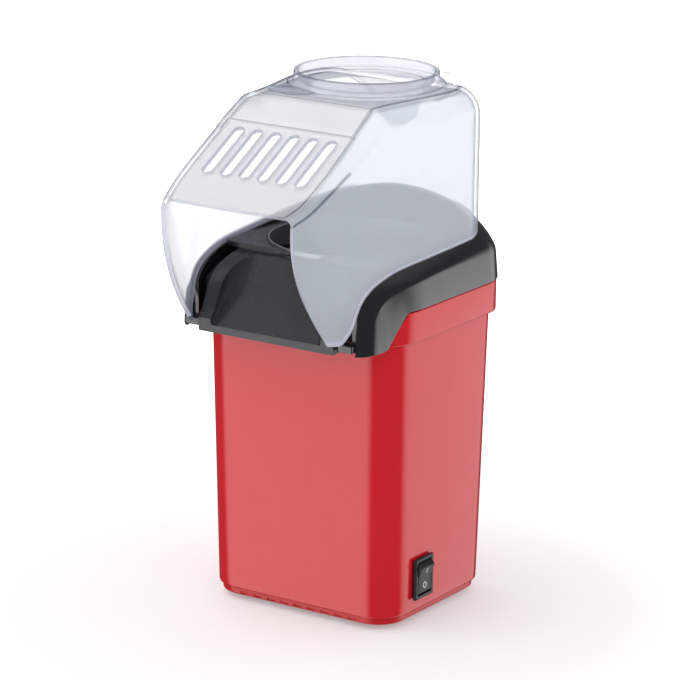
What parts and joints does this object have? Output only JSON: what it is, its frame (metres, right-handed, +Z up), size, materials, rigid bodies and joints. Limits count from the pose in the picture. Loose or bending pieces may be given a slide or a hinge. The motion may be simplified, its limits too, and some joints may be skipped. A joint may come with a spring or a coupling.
{
  "type": "popcorn maker",
  "caption": "Hot-air popcorn maker: tapered red body with a side rocker switch, black collar and sloping chute, and a clear lift-off hood with an open mouth and a filler ring on top.",
  "frame": {"origin": "on the table, under the middle of the object's box", "axes": "+Z up, +X to the right seen from the front, the chute and the hood's mouth face -Y"},
  "size_m": [0.13, 0.1728, 0.285],
  "materials": {
    "aluminium": "bright",
    "black_plastic": "gloss black",
    "blue_lead": "insulated wire",
    "board": "paper laminate board",
    "brass": "plain",
    "clear_plastic": "clear, faintly blue",
    "dark_plastic": "plain heat-resistant plastic",
    "heating_wire": "resistance wire",
    "mica": "mica sheet, stood in for by matt plastic",
    "red_lead": "insulated wire",
    "red_plastic": "gloss red",
    "rubber": "matt",
    "steel": "plated",
    "white_plastic": "plain"
  },
  "bodies": {
    "base": {"base_plate": "red_plastic", "base_screw_front_left": "steel", "base_screw_front_right": "steel", "base_screw_rear_left": "steel", "base_screw_rear_right": "steel", "body_shell": "red_plastic", "chute": "black_plastic", "collar": "black_plastic", "cord_gland": "black_plastic", "fan_housing": "dark_plastic", "foot_front_left": "rubber", "foot_front_right": "rubber", "foot_rear_left": "rubber", "foot_rear_right": "rubber", "heat_shield": "steel", "heater_coil": "heating_wire", "heater_frame": "mica", "hood_clip_left": "black_plastic", "hood_clip_right": "black_plastic", "lead_motor": "blue_lead", "lead_switch": "red_lead", "motor_bracket": "steel", "motor_can": "steel", "motor_endcap": "white_plastic", "motor_screw_left": "steel", "motor_screw_right": "steel", "popping_chamber": "aluminium", "rectifier_board": "board", "suppressor_capacitor": "white_plastic", "switch_bezel": "black_plastic", "switch_terminal_lower": "brass", "switch_terminal_upper": "brass", "terminal_block": "white_plastic", "thermal_fuse": "steel", "thermostat": "white_plastic", "throat_ring": "aluminium"},
    "hood": {"hood": "clear_plastic"},
    "rotor": {"impeller": "dark_plastic", "motor_shaft": "steel"},
    "rocker": {"switch_rocker": "black_plastic"}
  },
  "joints": [
    {"name": "hood_lift", "type": "slide", "parent": "base", "child": "hood", "axis": [0, 0, 1], "range_m": [0, 0.08]},
    {"name": "rocker_pivot", "type": "hinge", "parent": "base", "child": "rocker", "pos_m": [0.057, 0.0091, 0.025], "axis": [0, -1, 0], "range_deg": [0, 20]},
    {"name": "fan_spin", "type": "hinge", "parent": "base", "child": "rotor", "pos_m": [0, 0.0281, 0.05], "axis": [0, 0, 1], "continuous": true}
  ]
}
